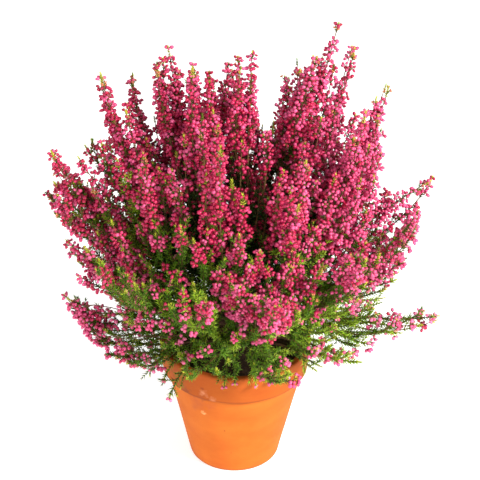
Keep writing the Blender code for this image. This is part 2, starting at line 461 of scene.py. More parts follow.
def roundedOutline(corners, steps):
    # each corner becomes a small arc, and each side is cut into its rows
    points = []
    for index, (radius, height, rounding, rows) in enumerate(corners):
        corner = Vector((radius, height))
        before = Vector(corners[index - 1][:2])
        after = Vector(corners[(index + 1) % len(corners)][:2])
        start = corner + (before - corner).normalized() * rounding
        end = corner + (after - corner).normalized() * rounding
        for step in range(steps + 1):
            share = step / steps
            rest = 1.0 - share
            points.append(start * rest**2 + corner * (2 * rest * share) + end * share**2)
        rounding = corners[(index + 1) % len(corners)][2]
        far = after + (corner - after).normalized() * rounding
        points += [end.lerp(far, row / rows) for row in range(1, rows)]
    return points


potMarks = (
    # place, reach, colour and strength of each stain, smear and speck on the clay
    ((-0.049, -0.044, 0.105), 0.0130, screen(150, 84, 54), 0.55),
    ((-0.041, -0.049, 0.096), 0.0065, screen(128, 66, 40), 0.60),
    ((-0.030, -0.058, 0.0955), 0.0060, screen(140, 72, 44), 0.55),
    ((-0.028, -0.0625, 0.1035), 0.0042, screen(214, 146, 108), 0.40),
    ((-0.020, -0.0640, 0.0985), 0.0036, screen(210, 140, 100), 0.36),
    ((-0.034, -0.048, 0.084), 0.0095, screen(176, 88, 50), 0.45),
    ((-0.022, -0.056, 0.086), 0.0060, screen(186, 92, 50), 0.40),
    ((-0.028, -0.051, 0.0745), 0.0030, screen(250, 172, 112), 0.60),
    ((-0.029, -0.062, 0.109), 0.0016, screen(120, 52, 28), 0.80),
    ((-0.009, -0.054, 0.056), 0.0011, screen(130, 60, 26), 0.80),
    ((-0.003, -0.048, 0.026), 0.0011, screen(130, 60, 26), 0.70),
    ((0.041, -0.043, 0.078), 0.0100, screen(196, 96, 40), 0.30),
    ((0.046, 0.042, 0.086), 0.0110, screen(170, 86, 48), 0.45),
    ((0.020, 0.060, 0.100), 0.0060, screen(222, 156, 116), 0.50),
    ((-0.030, 0.050, 0.060), 0.0080, screen(184, 92, 48), 0.40),
)


def clayFinish(plan):
    finish, tree, shader = newFinish("terracotta", Specular_IOR_Level=0.12)
    coords = addNode(tree, "ShaderNodeTexCoord").outputs["Object"]
    height = addNode(tree, "ShaderNodeSeparateXYZ", {"Vector": coords}).outputs["Z"]
    grain = useGrain(tree, 28.0, 1500.0, 0.4)
    broad = useGrain(tree, 22.0, 90.0, 0.3, 1.6)
    streaks = useGrain(tree, 7.0, 40.0, 0.3, 26.0)
    softly = mapRange(tree, broad["Mask"], 0.3, 0.7)
    body = mixColours(tree, softly, screen(190, 92, 30), screen(208, 112, 39))
    lines = mixColours(tree, streaks["Mask"], screen(182, 85, 28), screen(214, 119, 44))
    body = mixColours(tree, 0.2, body, lines)
    # small dark flecks in the clay
    specks = addNode(tree, "ShaderNodeTexVoronoi", {"Vector": coords, "Scale": 150.0, "Randomness": 1.0})
    dotted = mapRange(tree, specks.outputs["Distance"], 0.05, 0.12, 0.4, 0.0)
    rare = mathNode(tree, "GREATER_THAN", specks.outputs["Color"], 0.82)
    body = mixColours(tree, mathNode(tree, "MULTIPLY", dotted, rare), body, screen(130, 62, 30))
    # the band is painted darker and redder than the body, a painted shade from the crown above it, with a
    # painted shadow and some dirt in a line under its lower edge
    bandFoot = potTop - plan["bandHeight"]
    paintedBandShade = mapRange(tree, height, bandFoot - 0.0010, bandFoot + 0.0015, 0.0, 0.85)
    body = mixColours(tree, paintedBandShade, body, (0.70, 0.61, 0.66, 1.0), "MULTIPLY")
    # painted shadow under the overhang of the band, with some dirt: darker just below the band foot, patchy
    # round the pot
    paintedShadowBelowBand = mapRange(tree, height, bandFoot - 0.0055, bandFoot - 0.0005)
    under = mapRange(tree, height, bandFoot + 0.0004, bandFoot + 0.0025, 1.0, 0.0)
    patchy = mapRange(tree, broad["Height"], 0.35, 0.62, 1.0, 0.5)
    paintedShadowAndDirt = mathNode(tree, "MULTIPLY", mathNode(tree, "MULTIPLY", paintedShadowBelowBand, under), patchy)
    body = mixColours(tree, paintedShadowAndDirt, body, screen(118, 52, 22))
    for place, reach, colour, strength in potMarks:
        strength = min(strength * plan["stainStrength"], 1.0)
        body = addStain(tree, coords, body, place, reach * plan["stainReach"], colour, strength)
    # painted contact shadow: the clay darkens towards the foot of the pot
    foot = mapRange(tree, height, 0.0004, 0.0030, 0.75, 0.0)
    body = mixColours(tree, foot, body, screen(120, 58, 26))
    # soil tide on the rim and inside it
    damp = (potTop - 0.0085, potTop + 0.0010, 0.0, 0.4)
    tide = mapRange(tree, height, *damp, interpolation_type="SMOOTHSTEP")
    body = mixColours(tree, tide, body, screen(150, 66, 30))
    # dust worn on the arrises
    pointed = addNode(tree, "ShaderNodeNewGeometry").outputs["Pointiness"]
    body = mixColours(tree, mapRange(tree, pointed, 0.54, 0.62, 0.0, 0.35), body, screen(236, 148, 88))
    tree.links.new(body, shader.inputs["Base Color"])
    rough = mapRange(tree, grain["Mask"], 0.0, 1.0, 0.6, 0.9)
    tree.links.new(rough, shader.inputs["Roughness"])
    addBump(tree, shader, grain["Height"], 0.35, 0.0006)
    return finish


def addStain(tree, coords, under, place, reach, colour, strength):
    # an uneven patch of colour round a place on the pot
    away = addNode(tree, "ShaderNodeVectorMath", {0: coords, 1: place}, operation="DISTANCE")
    ragged = noiseNode(tree, coords, 1.4 / reach, 5.0)
    wander = mathNode(tree, "MULTIPLY_ADD", ragged, reach * 2.2, away.outputs["Value"])
    mask = mapRange(tree, wander, reach * 1.05, reach * 2.0, strength, 0.0)
    return mixColours(tree, mask, under, colour)


def buildPot(plan):
    form = bmesh.new()
    outline = roundedOutline(potOutline(plan), plan["edgeSteps"])
    spinOutline(form, outline, plan["steps"], closed=True)
    bmesh.ops.remove_doubles(form, verts=form.verts, dist=1e-6)
    for vert in form.verts:
        out = Vector((vert.co.x, vert.co.y, 0.0)).normalized()
        turning = noise.noise(Vector((0.3, 0.7, vert.co.z * 420.0))) * plan["turningDepth"]
        hollow = noise.noise(vert.co * 34.0) * plan["lean"]
        worn = max(noise.noise(vert.co * 190.0) - 0.34, 0.0) * plan["chipDepth"]
        high = easeBetween(vert.co.z, 0.004, 0.012)
        vert.co += out * (turning + hollow) * high - out * worn
    finishPiece(fromForm("terracotta_pot_spun", form, clayFinish(plan)), "terracotta", "terracotta_pot")


buildPot(potPlan)
print("pot spun")

# Compost: a domed crumbly surface, with loose crumbs on it
compostPlan = {
    "rings": 26,
    "steps": 120,
    "wallSlope": 0.222,
    "edgeDrop": 0.0025,
    "crumbs": 500,
    "crumbSize": 0.0016,
    "relief": 0.0011,
    "seed": 5,
}


def compostFinish():
    finish, tree, shader = newFinish("compost", Roughness=0.95, Specular_IOR_Level=0.25)
    grain = useGrain(tree, 240.0, 1600.0, 0.5)
    ramp = mapRange(tree, grain["Height"], 0.35, 0.68)
    body = mixColours(tree, ramp, screen(24, 16, 11), screen(82, 60, 42))
    tree.links.new(body, shader.inputs["Base Color"])
    addBump(tree, shader, grain["Height"], 0.8, 0.0015)
    return finish


def buildCompost(plan):
    low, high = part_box("compost")
    rng = random.Random(plan["seed"])
    form = bmesh.new()
    outline = [(0.0, low.z), (high.x - (high.z - low.z) * plan["wallSlope"], low.z)]
    edgeHeight = high.z - plan["edgeDrop"]
    for row in range(plan["rings"] + 1):
        share = row / plan["rings"]
        outline.append((high.x * (1.0 - share), blendValue(edgeHeight, high.z, share)))
    spinOutline(form, outline, plan["steps"])
    bmesh.ops.remove_doubles(form, verts=form.verts, dist=1e-6)
    for vert in form.verts:
        if vert.co.z > low.z + 0.01:
            reach = Vector((vert.co.x, vert.co.y)).length
            inside = 1.0 - easeBetween(reach, high.x - 0.003, high.x)
            lump = noise.noise(vert.co * 320.0) + 0.5 * noise.noise(vert.co * 900.0)
            vert.co.z += lump * plan["relief"] * inside
    for crumb in range(plan["crumbs"]):
        turn = rng.uniform(0.0, math.tau)
        reach = (high.x - 0.002) * math.sqrt(rng.random())
        place = Vector((reach * math.cos(turn), reach * math.sin(turn), 0.0))
        place.z = blendValue(high.z, edgeHeight, reach / high.x) + rng.uniform(-0.0002, 0.0006)
        spin = Matrix.Rotation(rng.uniform(0.0, math.tau), 4, (rng.random(), rng.random(), 1.0))
        size = plan["crumbSize"] * rng.uniform(0.35, 1.0)
        stretch = Matrix.Diagonal((size, size * rng.uniform(0.5, 1.0), size * rng.uniform(0.4, 0.8), 1.0))
        laid = Matrix.Translation(place) @ spin @ stretch
        bmesh.ops.create_icosphere(form, subdivisions=1, radius=0.5, matrix=laid)
    finishPiece(fromForm("compost_crumbly", form, compostFinish(), 60), "compost", "compost")


buildCompost(compostPlan)
print("compost filled")

# Where the CAD masses and boughs are
limbPlan = {
    "forkHeights": {"middle": 0.1435, "outer": 0.1335, "low": 0.1240},
    "stemReach": 0.0068,
    "topRing": 0.0044,
    "pull": 0.3,
    "stations": 14,
    "thick": 0.0021,
    "thin": 0.0011,
    "footPoints": 11,
}
stemLow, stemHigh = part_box("short_stem")


def cadPoints(node):
    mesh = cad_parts[node].data
    places = np.empty(len(mesh.vertices) * 3, np.float32)
    mesh.vertices.foreach_get("co", places)
    return np.unique(places.reshape(-1, 3).round(6), axis=0)


def massEnds(node):
    # a mass starts at the flat disc furthest from its tip
    points = cadPoints(node)
    heart = np.array([0.0, 0.0, stemHigh.z])
    tip = points[np.argmax(np.linalg.norm(points - heart, axis=1))]
    away = np.linalg.norm(points - tip, axis=1)
    foot = points[np.argsort(away)[-limbPlan["footPoints"] :]].mean(axis=0)
    return Vector(foot.tolist()), Vector(tip.tolist())


def massShell(node):
    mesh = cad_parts[node].data
    return BVHTree.FromPolygons([v.co for v in mesh.vertices], [p.vertices for p in mesh.polygons])


def readMasses():
    masses = []
    for node in sorted(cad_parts):
        if node.startswith(("plume_", "spray_")):
            foot, tip = massEnds(node)
            mass = {"node": node, "tier": node.split("_")[1], "foot": foot, "tip": tip}
            masses.append({**mass, "shell": massShell(node)})
    return masses


masses = readMasses()


def limbLine(mass, plan):
    # from the side or top of the short stem out and up to the foot of a mass
    heading = (mass["tip"] - mass["foot"]).normalized()
    out = Vector((mass["foot"].x, mass["foot"].y, 0.0)).normalized()
    if mass["tier"] == "top":
        start = out * plan["topRing"] + skyward * (stemHigh.z - 0.001)
        leaving = skyward
    else:
        start = out * plan["stemReach"] + skyward * plan["forkHeights"][mass["tier"]]
        leaving = out
    pull = (mass["foot"] - start).length * plan["pull"]
    return bendLine(start, leaving * pull, heading * pull, mass["foot"], plan["stations"])


# Sweeps: many tapering lines as one curve, made a mesh
def sweepLines(name, lines, finish, sides, *nodes):
    curve = bpy.data.curves.new(name, "CURVE")
    curve.dimensions = "3D"
    curve.bevel_depth = 1.0
    curve.bevel_resolution = (sides - 4) // 2
    curve.use_fill_caps = True
    for points, radii in lines:
        spline = curve.splines.new("POLY")
        spline.points.add(len(points) - 1)
        spline.points.foreach_set("co", [value for point in points for value in (*point, 1.0)])
        spline.points.foreach_set("radius", radii)
    holder = bpy.data.objects.new(name, curve)
    bpy.context.collection.objects.link(holder)
    bpy.context.view_layer.update()
    mesh = bpy.data.meshes.new_from_object(holder.evaluated_get(bpy.context.evaluated_depsgraph_get()))
    bpy.data.objects.remove(holder)
    mesh.shade_smooth()
    mesh.set_sharp_from_angle(angle=math.radians(60))
    finishPiece(addPiece(name, mesh, finish), "bark", *nodes)


def setAttribute(mesh, name, values):
    layer = mesh.attributes.new(name, "FLOAT", "POINT")
    layer.data.foreach_set("value", np.asarray(values, np.float32))


# Masters: one bell, one bud, one calyx and one needle, each of a few faces
def masterArrays(form):
    bmesh.ops.remove_doubles(form, verts=form.verts, dist=1e-5)
    bmesh.ops.recalc_face_normals(form, faces=form.faces)
    bmesh.ops.triangulate(form, faces=form.faces)
    form.verts.index_update()
    places = np.array([vert.co for vert in form.verts])
    faces = np.array([[vert.index for vert in face.verts] for face in form.faces])
    form.free()
    return places, faces


def spunMaster(outline, steps):
    form = bmesh.new()
    spinOutline(form, outline, steps)
    return masterArrays(form)


def spikeMaster(nearRadius, farRadius):
    form = bmesh.new()
    bmesh.ops.create_cone(form, cap_ends=True, segments=3, radius1=nearRadius, radius2=farRadius, depth=1.0)
    bmesh.ops.translate(form, vec=(0.0, 0.0, 0.5), verts=form.verts)
    return masterArrays(form)


masters = {
    "bell": spunMaster([(0, 0), (0.50, 0.40), (0.30, 0.90), (0, 0.78)], 5),
    "smallBell": spunMaster([(0, 0), (0.50, 0.40), (0.28, 0.92), (0, 0.80)], 4),
    "bud": spunMaster([(0, 0), (0.40, 0.40), (0, 1.0)], 4),
    "calyx": spikeMaster(0.0, 0.5),
    "needle": spikeMaster(0.5, 0.0),
}
mostTriangles = 185000


def stampCopies(name, kind, placed, finish, slotName):
    # joined copies of a master, split so that no piece grows too large
    places, faces = masters[kind]
    most = mostTriangles // len(faces)
    for number, first in enumerate(range(0, len(placed), most)):
        batch = placed[first : first + most]
        spot = np.array([entry[0] for entry in batch], float)
        aim = np.array([entry[1] for entry in batch], float)
        sizes = np.array([entry[2:6] for entry in batch], float)
        aim /= np.linalg.norm(aim, axis=1)[:, None]
        helper = np.where(np.abs(aim[:, 2:3]) > 0.9, [[1.0, 0.0, 0.0]], [[0.0, 0.0, 1.0]])
        side = np.cross(helper, aim)
        side /= np.linalg.norm(side, axis=1)[:, None]
        front = np.cross(aim, side)
        turnCos, turnSin = np.cos(sizes[:, 2:3]), np.sin(sizes[:, 2:3])
        across = side * turnCos + front * turnSin
        forth = front * turnCos - side * turnSin
        length, width = sizes[:, 0, None, None], sizes[:, 1, None, None]
        flat = across[:, None, :] * places[None, :, 0:1] + forth[:, None, :] * places[None, :, 1:2]
        moved = spot[:, None, :] + width * flat + length * aim[:, None, :] * places[None, :, 2:3]
        corners = faces[None, :, :] + (np.arange(len(batch)) * len(places))[:, None, None]
        mesh = bpy.data.meshes.new(name)
        mesh.from_pydata(moved.reshape(-1, 3), [], corners.reshape(-1, 3).tolist())
        setAttribute(mesh, "tint", np.repeat(sizes[:, 3], len(places)))
        setAttribute(mesh, "along", np.tile(places[:, 2], len(batch)))
        mesh.shade_smooth()
        piece = addPiece(f"{name}_{number + 1}", mesh, finish)
        finishPiece(piece, slotName)
        print(piece.name, len(batch), "copies,", len(batch) * len(faces), "triangles")


# Growth: where the shoots of the crown go and what each one bears
growthPlan = {
    "seed": 17,
    # how far up flowers start, where side shoots leave, how far they go on and how much they lift
    "tiers": {
        "top": {"flowerFrom": 0.20, "leave": (0.05, 0.45), "onward": (0.50, 0.62), "lift": 1.1},
        "middle": {"flowerFrom": 0.14, "leave": (0.05, 0.45), "onward": (0.40, 0.50), "lift": 1.3},
        "outer": {"flowerFrom": 0.24, "leave": (0.06, 0.62), "onward": (0.32, 0.42), "lift": 1.8},
        "low": {"flowerFrom": 0.45, "leave": (0.08, 0.66), "onward": (0.28, 0.40), "lift": 1.5},
    },
    "steps": {"top": 0.0055, "middle": 0.0056, "outer": 0.0060, "low": 0.0062},
    "mainLift": {"top": 0.6, "middle": 0.7, "outer": 1.1, "low": 0.4},
    "mainPulls": (0.36, 0.42),
    "mainFlare": 0.35,
    "mainWander": 0.05,
    "mainBare": 0.06,
    "sideShoots": 6,
    "sideRadius": 0.0009,
    "sidePulls": (0.35, 0.38),
    "spread": (0.6, 0.95),
    # masses that bear fewer side shoots or more flowers, and those that hang or arch
    "thinner": {
        "plume_outer_right": 2,
        "plume_outer_front": 3,
        "plume_outer_front_middle": 4,
        "spray_low_front": 2,
        "spray_low_right_front": 3,
        "spray_low_right": 3,
        "spray_low_front_left": 4,
        "spray_low_left": 4,
    },
    "laden": {"spray_low_left": 0.5},
    "drooping": {"spray_low_right": 0.012},
    "sagging": {"spray_low_left": 0.030, "plume_outer_right": -0.022},
    # each shoot
    "tipRadius": 0.00035,
    "bareFoot": 0.004,
    "bareEnd": 0.003,
    "gapChance": 0.10,
    "looseFrom": 0.55,
    "looseStep": 2.0,
    "tuftShare": 0.32,
    # flowers by height, bearing and depth in the crown
    "bloomLow": 0.220,
    "bloomFull": 0.318,
    "bloomLeast": 0.04,
    "bloomSunny": math.radians(325),
    "bloomShift": 0.020,
    "bloomEnds": 0.55,
    "endsFrom": (0.120, 0.160),
    "endsAbove": (0.130, 0.220),
    "shadyBearing": math.radians(236),
    "shadyWidth": math.radians(28),
    "shadyShift": 0.060,
    "shadyBelow": (0.215, 0.285),
    "deepInside": 0.25,
    "pinkBelow": (0.150, 0.300),
    "pinkLow": 0.96,
    "pinkHigh": 0.20,
    "paintedLitPinkTop": 0.38,
    "topFrom": (0.290, 0.370),
    "sunnyFrom": (0.02, 0.11),
    "paintedLitPink": 0.85,
    "paleBelow": (0.170, 0.225),
    "paleShady": 0.10,
    "paintedLitPale": 0.60,
    # bells and buds
    "bellLength": 0.0045,
    "bellWidth": 0.0037,
    "bellsInCluster": (3, 4),
    "pedicel": 0.0007,
    "nod": (0.1, 0.4),
    "calyxReach": 0.22,
    "calyxWidth": 0.0020,
    "budLength": 0.0028,
    "budWidth": 0.0024,
    # needles and leafy twiglets
    "needleLength": 0.0056,
    "needleWidth": 0.0012,
    "needleSpread": (35, 55),
    "innerNeedle": 1.35,
    "innerBelow": (0.30, 0.75),
    "whorlStep": 0.0025,
    "innerWhorlStep": 0.0034,
    "tipWhorlStep": 0.0020,
    "freshShare": 0.28,
    "freshBelow": (0.150, 0.230),
    "paintedLitFreshLow": 0.52,
    "firstTwiglet": 0.006,
    "twigletStep": 0.0085,
    "twigletLength": (0.010, 0.022),
    "twigletOuter": (0.07, 0.13),
    "twigletWidth": 0.0011,
    "twigletBare": 0.003,
    "twigletSpread": (30, 52),
    "twigletTip": 0.22,
    "twigletFlower": 0.06,
    # flowering branchlets
    "branchletLong": 0.0078,
    "branchletShort": 0.0032,
    "branchletRise": (58, 34),
    "branchletWidth": 0.0012,
    "innerBranchlets": 0.35,
    "budsFrom": 0.93,
    # the crown as a rounded body, flatter above its middle than below
    "crownMiddle": Vector((0.0, 0.0, 0.27)),
    "crownHalf": Vector((0.172, 0.155, 0.165)),
    "crownTop": 0.66,
    "crownFoot": 1.45,
    "crownShown": (0.25, 0.66),
    "heart": Vector((0.0, 0.0, 0.150)),
    # left, top, right and bottom of the gaps where the photo shows sky between the spires
    "skyGaps": (
        (99, 298, 121, 329), (84, 347, 104, 374), (60, 357, 118, 374), (58, 307, 71, 345),
        (257, 20, 281, 121), (112, 40, 124, 98), (118, 98, 126, 148), (142, 40, 148, 128),
        (143, 40, 152, 78), (200, 20, 204, 82), (216, 20, 222, 72), (300, 15, 328, 36),
        (300, 36, 322, 52), (341, 15, 352, 44), (358, 30, 371, 110), (350, 86, 372, 106),
        (381, 110, 412, 178), (60, 110, 82, 148), (62, 148, 76, 160), (25, 120, 46, 179),
        (25, 158, 52, 190), (30, 202, 48, 300), (46, 219, 64, 236), (40, 236, 60, 292),
        (60, 266, 76, 293), (84, 294, 94, 301), (97, 300, 106, 314), (113, 319, 122, 329),
        (60, 322, 76, 400), (76, 334, 90, 400), (88, 350, 104, 400), (104, 363, 122, 400),
        (122, 370, 138, 400), (384, 176, 396, 189), (398, 205, 410, 221), (383, 205, 400, 228),
        (419, 196, 445, 306), (409, 243, 445, 309), (402, 264, 420, 309), (386, 290, 445, 309),
        (382, 338, 445, 400), (424, 325, 445, 400), (408, 332, 445, 400), (312, 367, 400, 400),
        (364, 350, 400, 400), (304, 378, 320, 400),
    ),
}
fillerPlan = {
    "seed": 41,
    "step": 0.0060,
    "radius": 0.0008,
    "lift": 1.3,
    "pulls": (0.3, 0.4),
    # the rise in degrees, and how far out a shoot ends, as a share of the crown or as a size
    "fillers": {
        "flank": {"count": 40, "rise": (2, 42), "share": (0.50, 0.74), "fork": 0.070},
        "crown": {"count": 78, "rise": (-3, 84), "share": (0.60, 0.87), "fork": 0.055},
        "core": {"count": 26, "rise": (48, 88), "share": (0.52, 0.74), "fork": 0.040},
        "undergrowth": {"count": 54, "rise": (-3, 55), "reach": (0.066, 0.115), "fork": 0.02},
    },
    "flowerFrom": {"flank": 0.50, "crown": 0.28, "core": 0.32, "undergrowth": 0.62},
    "needleScale": {"flank": 1.1, "crown": 1.0, "core": 1.15, "undergrowth": 1.2},
}
spirePlan = {
    "seed": 41,
    "step": 0.0056,
    "radius": 0.0010,
    "leaving": 0.45,
    "arriving": 1.1,
    "wayDepth": 0.8,
    "bloom": 0.75,
    "bloomLow": 0.24,
    "bloomFrom": (0.20, 0.30),
    "farLeft": (0.07, 0.11),
    "farShare": 0.85,
    "leafyFrom": 0.7,
    "leafyNeedle": 1.3,
    "leafyBloom": 0.6,
    # as the photo shows them: the tip's pixel and depth, a pixel on the way, and how far up flowers start
    "spires": (
        (101, 78, 0.00, 107, 140, 0.22), (131, 82, 0.03, 137, 130, 0.25),
        (157, 68, -0.01, 160, 120, 0.22), (178, 72, 0.02, 172, 125, 0.22),
        (193, 66, 0.03, 188, 115, 0.25), (209, 74, 0.00, 207, 120, 0.22),
        (228, 65, 0.01, 222, 115, 0.22), (238, 58, 0.03, 238, 110, 0.22),
        (252, 76, -0.01, 247, 120, 0.22), (263, 116, 0.05, 261, 160, 0.25),
        (273, 130, 0.07, 271, 168, 0.25), (285, 78, 0.01, 292, 125, 0.22),
        (297, 61, 0.03, 301, 110, 0.22), (313, 58, -0.01, 313, 110, 0.22),
        (354, 50, 0.02, 345, 105, 0.22), (366, 113, -0.02, 360, 160, 0.22),
        (378, 118, -0.01, 372, 170, 0.30), (380, 155, -0.04, 374, 195, 0.35),
        (374, 178, -0.04, 371, 232, 0.40), (352, 196, -0.03, 350, 240, 0.35),
        (362, 186, -0.03, 358, 235, 0.30), (366, 212, -0.04, 362, 250, 0.40),
        (383, 232, -0.03, 374, 262, 0.40), (394, 236, -0.02, 384, 262, 0.40),
        (428, 182, 0.00, 398, 200, 0.35), (417, 212, 0.01, 404, 244, 0.25),
        (411, 228, -0.02, 396, 255, 0.25), (406, 246, 0.00, 388, 270, 0.30),
        (402, 262, -0.03, 380, 280, 0.30), (395, 280, -0.01, 372, 290, 0.35),
        (397, 273, 0.01, 378, 284, 0.30), (383, 298, 0.00, 358, 303, 0.40),
        (380, 303, -0.02, 356, 311, 0.55), (384, 290, -0.03, 360, 298, 0.40),
        (372, 309, -0.04, 346, 317, 0.65), (362, 337, -0.04, 335, 337, 1.00),
        (437, 316, -0.05, 398, 323, 0.62), (420, 325, -0.05, 390, 329, 0.60),
        (400, 333, -0.05, 372, 334, 0.70), (378, 320, -0.04, 352, 328, 0.78),
        (372, 345, -0.05, 345, 340, 0.85), (352, 354, -0.05, 325, 352, 0.93),
        (360, 362, -0.06, 330, 361, 1.00), (359, 346, -0.05, 336, 344, 0.95),
        (52, 153, -0.01, 66, 185, 0.25), (60, 161, 0.00, 76, 192, 0.25),
        (108, 95, 0.01, 111, 150, 0.25), (115, 119, 0.02, 117, 162, 0.25),
        (214, 83, 0.02, 213, 128, 0.25), (300, 72, 0.02, 302, 118, 0.22),
        (163, 60, 0.00, 163, 112, 0.22), (388, 88, 0.00, 381, 132, 0.20),
        (376, 99, 0.00, 373, 135, 0.30), (150, 374, -0.05, 150, 362, 0.50),
        (86, 147, 0.00, 104, 178, 0.25), (92, 141, 0.01, 105, 174, 0.20),
        (128, 190, 0.00, 134, 232, 0.35), (140, 197, 0.02, 144, 236, 0.40),
        (79, 158, -0.03, 98, 192, 0.25), (66, 168, 0.01, 88, 200, 0.25),
        (56, 172, -0.03, 78, 205, 0.25), (47, 194, -0.02, 70, 222, 0.25),
        (56, 214, -0.04, 80, 235, 0.35), (67, 241, -0.03, 88, 262, 0.50),
        (72, 252, -0.02, 92, 268, 0.30), (80, 263, -0.03, 100, 276, 0.35),
        (80, 277, -0.04, 106, 292, 0.60), (92, 296, -0.01, 120, 305, 1.00),
        (98, 234, -0.04, 112, 268, 0.45), (112, 222, -0.06, 124, 262, 0.45),
        (122, 248, -0.06, 134, 285, 0.50), (92, 262, -0.02, 112, 286, 0.50),
        (106, 276, -0.05, 124, 300, 0.55), (126, 276, -0.07, 142, 312, 0.55),
        (122, 303, -0.04, 138, 328, 0.70), (140, 300, -0.08, 154, 332, 0.60),
        (134, 322, -0.05, 150, 345, 0.60), (69, 299, -0.03, 96, 322, 0.50),
        (78, 313, -0.02, 102, 333, 0.55), (96, 340, -0.03, 120, 347, 0.60),
        (111, 354, -0.05, 135, 357, 0.60), (128, 361, -0.06, 148, 363, 0.60),
        (149, 371, -0.05, 160, 366, 0.60), (207, 274, 0.05, 212, 300, 1.00),
        (184, 276, 0.04, 192, 302, 1.00), (198, 280, 0.08, 202, 304, 1.00),
        (174, 290, 0.03, 184, 312, 1.00), (226, 252, 0.03, 226, 284, 1.00),
        (186, 236, 0.02, 194, 276, 1.00), (252, 180, 0.01, 250, 225, 0.35),
        (264, 192, 0.02, 261, 235, 0.40), (246, 205, 0.00, 246, 242, 0.45),
        (188, 252, -0.02, 196, 290, 1.00), (204, 250, -0.01, 206, 290, 1.00),
        (197, 262, 0.02, 200, 296, 1.00), (214, 256, 0.00, 214, 292, 1.00),
        (180, 262, -0.03, 188, 296, 1.00), (203, 262, -0.085, 203, 320, 0.95),
        (193, 284, -0.095, 200, 324, 0.85), (212, 308, -0.115, 214, 345, 0.92),
        (178, 272, -0.085, 184, 318, 0.72), (167, 290, -0.09, 174, 325, 0.84),
        (156, 292, -0.08, 166, 326, 0.80), (150, 266, -0.07, 158, 310, 0.66),
        (224, 346, -0.12, 225, 362, 1.00), (236, 334, -0.12, 238, 356, 0.75),
        (218, 268, -0.10, 222, 310, 0.35), (230, 276, -0.115, 234, 320, 0.30),
        (240, 288, -0.125, 243, 325, 0.25), (252, 262, -0.10, 253, 303, 0.40),
        (255, 296, -0.125, 256, 330, 0.30), (268, 270, -0.10, 268, 310, 0.30),
        (272, 300, -0.13, 268, 338, 0.25), (288, 266, -0.095, 282, 310, 0.35),
        (292, 298, -0.12, 281, 332, 0.30), (300, 262, -0.08, 292, 300, 0.35),
        (200, 132, -0.04, 203, 190, 0.25), (218, 128, -0.07, 218, 195, 0.20),
        (172, 172, -0.07, 172, 225, 0.20), (262, 168, -0.03, 258, 215, 0.25),
        (283, 172, -0.05, 276, 225, 0.25), (240, 158, -0.01, 240, 212, 0.15),
        (232, 146, 0.02, 234, 200, 0.15), (256, 150, 0.03, 256, 200, 0.20),
        (248, 172, 0.00, 248, 222, 0.20), (268, 200, -0.05, 265, 242, 0.30),
    ),
}
sprigPlan = {
    "seed": 43,
    "foot": (0.040, 0.129),
    "radius": 0.0006,
    "step": 0.004,
    "paleShare": 0.6,
    # the bearing in degrees, and how far out and how high each one ends
    "ends": (
        (230, 0.090, 0.104), (221, 0.084, 0.114), (263, 0.0755, 0.1215),
        (270, 0.0745, 0.1250), (284, 0.0755, 0.1220), (297, 0.0760, 0.1240),
        (306, 0.0780, 0.1240), (20, 0.078, 0.119), (75, 0.077, 0.121),
        (120, 0.076, 0.119), (165, 0.080, 0.116),
    ),
}
bareTwigPlan = {
    "seed": 44,
    "foot": (0.030, 0.140),
    "thick": 0.0009,
    "thin": 0.0003,
    "forkLength": (0.014, 0.026),
    "forkRadii": (0.00045, 0.0004, 0.00035, 0.0003, 0.00022),
    # bearing, reach and height, as for the sprigs
    "ends": (
        (196, 0.140, 0.180), (212, 0.125, 0.160), (326, 0.108, 0.146),
        (344, 0.118, 0.160), (50, 0.130, 0.160), (130, 0.130, 0.165),
    ),
}
crop = defaultdict(list)  # every copy to be stamped: its place, aim, length, width, turn and tint
shootLines = []
limbLines = []
bareLines = []


def shownShare(point):
    # 0 deep inside the crown, 1 near its outside
    away = point - growthPlan["crownMiddle"]
    half = growthPlan["crownHalf"]
    tall = half.z * (growthPlan["crownTop"] if away.z > 0.0 else growthPlan["crownFoot"])
    reach = math.sqrt((away.x / half.x) ** 2 + (away.y / half.y) ** 2 + (away.z / tall) ** 2)
    return easeBetween(reach, *growthPlan["crownShown"])


def dealBlossom(rng, place):
    # the colour of a spray's flowers: paler low down; painted shade makes them dark crimson deep inside the
    # crown, and painted light makes them pinker and paler on the lit right side and pinker at the lit top
    plan = growthPlan
    draw = rng.random()
    # painted shade: bells deep inside the crown are dealt a dark crimson
    if shownShare(place) < plan["deepInside"]:
        return "paintedShadeCrimson"
    # painted light: flowers on the lit right side are dealt pinker and paler
    sunny = easeBetween(place.x, *plan["sunnyFrom"])
    pinker = max(1.0 - easeBetween(place.z, *plan["pinkBelow"]), sunny * plan["paintedLitPink"])
    low = 1.0 - easeBetween(place.z, *plan["paleBelow"])
    if draw < low * blendValue(plan["paleShady"], plan["paintedLitPale"], sunny):
        return "pale"
    # painted light: more pink flowers at the lit top of the crown
    high = easeBetween(place.z, *plan["topFrom"])
    pinkHigh = blendValue(plan["pinkHigh"], plan["paintedLitPinkTop"], high)
    return "pink" if draw < blendValue(pinkHigh, plan["pinkLow"], pinker) else "rose"


def addNeedles(rng, place, direction, count, length, spread, kind):
    # a whorl of needles round a stem
    plan = growthPlan
    turn = rng.uniform(0.0, math.tau)
    # painted shade: needles deep inside the crown take a very dark green
    if shownShare(place) < rng.uniform(*plan["innerBelow"]):
        kind = "paintedShadeGreen"
    for number in range(count):
        out = turnedAcross(direction, turn + number * math.tau / count)
        aim = direction * math.cos(spread) + out * math.sin(spread)
        size = length * rng.uniform(0.75, 1.15)
        width = plan["needleWidth"] * size / plan["needleLength"]
        crop[kind].append((place, aim, size, width, 0.0, rng.random()))


